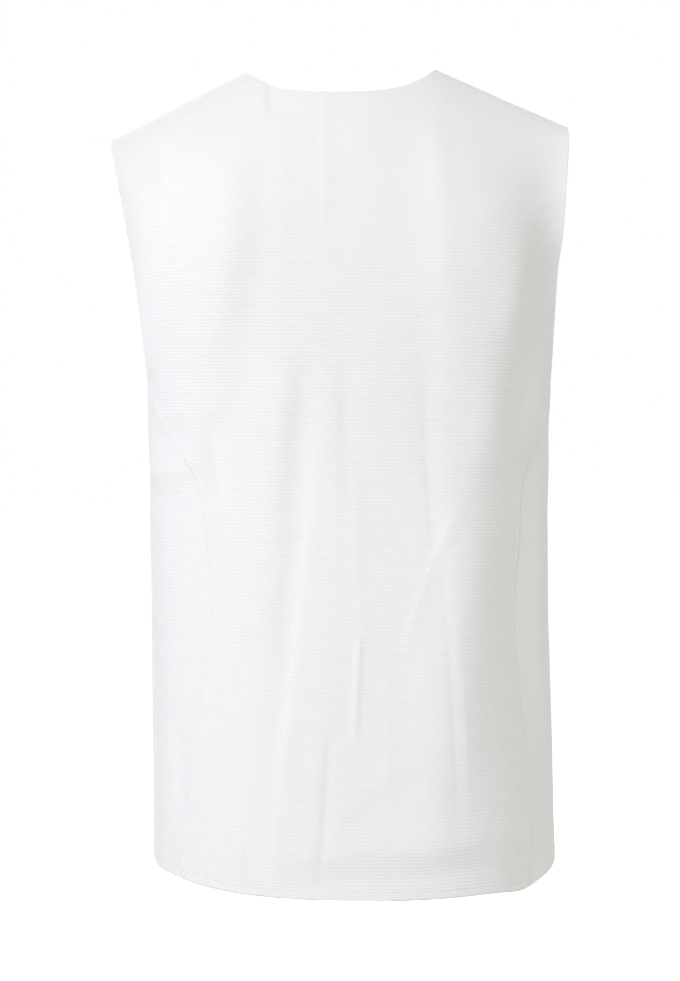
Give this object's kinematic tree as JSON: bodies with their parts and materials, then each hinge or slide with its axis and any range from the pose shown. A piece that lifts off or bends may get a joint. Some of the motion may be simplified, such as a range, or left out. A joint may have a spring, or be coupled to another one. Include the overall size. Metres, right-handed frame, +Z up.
{
  "type": "sleeveless knit cardigan",
  "caption": "White sleeveless knit cardigan with a V neck and plain welts, filled out and hollow, with its neck, armholes and hem open.",
  "frame": {"origin": "midway between the two neck points, on the shoulders' line, where a wearer's shoulders hold the garment", "axes": "+Z up, +Y out of the back, +X towards the wearer's left"},
  "size_m": [0.3942, 0.22, 0.7048],
  "materials": {
    "white_knit": "fine, firm double knit in matte white yarn, with narrow horizontal ribs",
    "white_welt": "smooth, close knit hem welt in the same matte white yarn"
  },
  "bodies": {
    "root": {"back": "white_knit", "left_front": "white_knit", "right_front": "white_knit", "back_hem_welt": "white_welt", "left_front_hem_welt": "white_welt", "right_front_hem_welt": "white_welt"}
  },
  "joints": []
}
